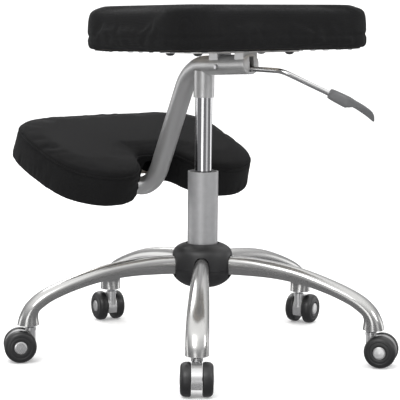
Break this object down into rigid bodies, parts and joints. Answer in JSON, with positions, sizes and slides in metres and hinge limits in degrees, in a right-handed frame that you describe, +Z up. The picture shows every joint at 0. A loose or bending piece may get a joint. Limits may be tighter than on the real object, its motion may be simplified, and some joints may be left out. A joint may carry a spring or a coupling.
{
  "type": "kneeling massage chair",
  "caption": "Height-adjustable kneeling chair with a flat padded seat, a sloping kidney-shaped knee pad, a bent tube frame, a gas lift and a wheeled star base.",
  "frame": {"origin": "on the floor, on the axis of the gas lift's column", "axes": "+Z up; the knee pad is towards -Y and the lever towards +Y; the user's left is +X"},
  "size_m": [0.6425, 0.627, 0.5753],
  "materials": {
    "base_silver": "glossy silver metallic coat on the cast legs and hub",
    "frame_silver": "satin silver-grey powder coat",
    "column_silver": "matte light silver coat",
    "chrome": "polished chrome",
    "steel": "turned steel",
    "lever_steel": "bright drawn rod",
    "cap_silver": "silver moulded cap",
    "caster_silver": "silver moulded hood and caps",
    "black_plastic": "satin black moulding",
    "wheel_black": "black moulded wheel",
    "grey_plastic": "satin grey moulding",
    "black_steel": "black oxide",
    "plywood": "raw plywood",
    "black_fabric": "black woven upholstery fabric"
  },
  "bodies": {
    "base": {"caster_1_stem": "steel", "caster_2_stem": "steel", "caster_3_stem": "steel", "caster_4_stem": "steel", "caster_5_stem": "steel", "column_bushing": "black_plastic", "column_tube": "column_silver", "hub_core": "base_silver", "hub_cover_lower": "black_plastic", "hub_cover_upper": "black_plastic", "leg_1": "base_silver", "leg_2": "base_silver", "leg_3": "base_silver", "leg_4": "base_silver", "leg_5": "base_silver", "thrust_bearing": "steel"},
    "spindle": {"piston_rod": "steel", "retaining_clip": "steel"},
    "upper": {"end_cap": "cap_silver", "frame_tube": "frame_silver", "gas_cylinder": "chrome", "knee_board": "plywood", "knee_bolts": "black_steel", "knee_cushion": "black_fabric", "knee_plate": "frame_silver", "lever_pivot_pin": "steel", "seat_board": "plywood", "seat_bolts": "black_steel", "seat_brackets": "frame_silver", "seat_cushion": "black_fabric", "seat_plate": "frame_silver", "tube_socket": "frame_silver"},
    "lever": {"lever_rod": "lever_steel", "lever_handle": "grey_plastic"},
    "button": {"release_button": "steel"},
    "caster_1": {"caster_1_axle": "steel", "caster_1_axle_caps": "caster_silver", "caster_1_body": "caster_silver"},
    "caster_1_left_roller": {"caster_1_wheel_left": "wheel_black"},
    "caster_1_right_roller": {"caster_1_wheel_right": "wheel_black"},
    "caster_2": {"caster_2_axle": "steel", "caster_2_axle_caps": "caster_silver", "caster_2_body": "caster_silver"},
    "caster_2_left_roller": {"caster_2_wheel_left": "wheel_black"},
    "caster_2_right_roller": {"caster_2_wheel_right": "wheel_black"},
    "caster_3": {"caster_3_axle": "steel", "caster_3_axle_caps": "caster_silver", "caster_3_body": "caster_silver"},
    "caster_3_left_roller": {"caster_3_wheel_left": "wheel_black"},
    "caster_3_right_roller": {"caster_3_wheel_right": "wheel_black"},
    "caster_4": {"caster_4_axle": "steel", "caster_4_axle_caps": "caster_silver", "caster_4_body": "caster_silver"},
    "caster_4_left_roller": {"caster_4_wheel_left": "wheel_black"},
    "caster_4_right_roller": {"caster_4_wheel_right": "wheel_black"},
    "caster_5": {"caster_5_axle": "steel", "caster_5_axle_caps": "caster_silver", "caster_5_body": "caster_silver"},
    "caster_5_left_roller": {"caster_5_wheel_left": "wheel_black"},
    "caster_5_right_roller": {"caster_5_wheel_right": "wheel_black"}
  },
  "joints": [
    {"name": "swivel", "type": "hinge", "parent": "base", "child": "spindle", "pos_m": [0, 0, 0.1255], "axis": [0, 0, 1], "continuous": true},
    {"name": "lift", "type": "slide", "parent": "spindle", "child": "upper", "axis": [0, 0, 1], "range_m": [-0.07, 0]},
    {"name": "lever_pull", "type": "hinge", "parent": "upper", "child": "lever", "pos_m": [0, 0.051, 0.4742], "axis": [1, 0, 0], "range_deg": [0, 5.5], "stiffness_Nm_per_rad": 2, "springref_deg": -20.05},
    {"name": "valve_press", "type": "slide", "parent": "upper", "child": "button", "axis": [0, 0, -1], "range_m": [0, 0.0052]},
    {"name": "caster_1_swivel", "type": "hinge", "parent": "base", "child": "caster_1", "pos_m": [0.18241, 0.22287, 0.055], "axis": [0, 0, 1], "continuous": true},
    {"name": "caster_1_roll_left", "type": "hinge", "parent": "caster_1", "child": "caster_1_left_roller", "pos_m": [0.19288, 0.23626, 0.026], "axis": [-0.788, 0.6157, 0], "continuous": true},
    {"name": "caster_1_roll_right", "type": "hinge", "parent": "caster_1", "child": "caster_1_right_roller", "pos_m": [0.19288, 0.23626, 0.026], "axis": [-0.788, 0.6157, 0], "continuous": true},
    {"name": "caster_2_swivel", "type": "hinge", "parent": "base", "child": "caster_2", "pos_m": [-0.15559, 0.24236, 0.055], "axis": [0, 0, 1], "continuous": true},
    {"name": "caster_2_roll_left", "type": "hinge", "parent": "caster_2", "child": "caster_2_left_roller", "pos_m": [-0.16606, 0.25575, 0.026], "axis": [-0.788, -0.6157, 0], "continuous": true},
    {"name": "caster_2_roll_right", "type": "hinge", "parent": "caster_2", "child": "caster_2_right_roller", "pos_m": [-0.16606, 0.25575, 0.026], "axis": [-0.788, -0.6157, 0], "continuous": true},
    {"name": "caster_3_swivel", "type": "hinge", "parent": "base", "child": "caster_3", "pos_m": [-0.27857, -0.07308, 0.055], "axis": [0, 0, 1], "continuous": true},
    {"name": "caster_3_roll_left", "type": "hinge", "parent": "caster_3", "child": "caster_3_left_roller", "pos_m": [-0.29427, -0.07962, 0.026], "axis": [0.3843, -0.9232, 0], "continuous": true},
    {"name": "caster_3_roll_right", "type": "hinge", "parent": "caster_3", "child": "caster_3_right_roller", "pos_m": [-0.29427, -0.07962, 0.026], "axis": [0.3843, -0.9232, 0], "continuous": true},
    {"name": "caster_4_swivel", "type": "hinge", "parent": "base", "child": "caster_4", "pos_m": [-0.01658, -0.28752, 0.055], "axis": [0, 0, 1], "continuous": true},
    {"name": "caster_4_roll_left", "type": "hinge", "parent": "caster_4", "child": "caster_4_left_roller", "pos_m": [-0.01988, -0.3042, 0.026], "axis": [0.981, -0.1942, 0], "continuous": true},
    {"name": "caster_4_roll_right", "type": "hinge", "parent": "caster_4", "child": "caster_4_right_roller", "pos_m": [-0.01988, -0.3042, 0.026], "axis": [0.981, -0.1942, 0], "continuous": true},
    {"name": "caster_5_swivel", "type": "hinge", "parent": "base", "child": "caster_5", "pos_m": [0.26833, -0.10462, 0.055], "axis": [0, 0, 1], "continuous": true},
    {"name": "caster_5_roll_left", "type": "hinge", "parent": "caster_5", "child": "caster_5_left_roller", "pos_m": [0.28327, -0.11273, 0.026], "axis": [0.4772, 0.8788, 0], "continuous": true},
    {"name": "caster_5_roll_right", "type": "hinge", "parent": "caster_5", "child": "caster_5_right_roller", "pos_m": [0.28327, -0.11273, 0.026], "axis": [0.4772, 0.8788, 0], "continuous": true}
  ],
  "couplings": [
    {"joint": "valve_press", "follows": "lever_pull", "m_per_rad": 0.052}
  ]
}
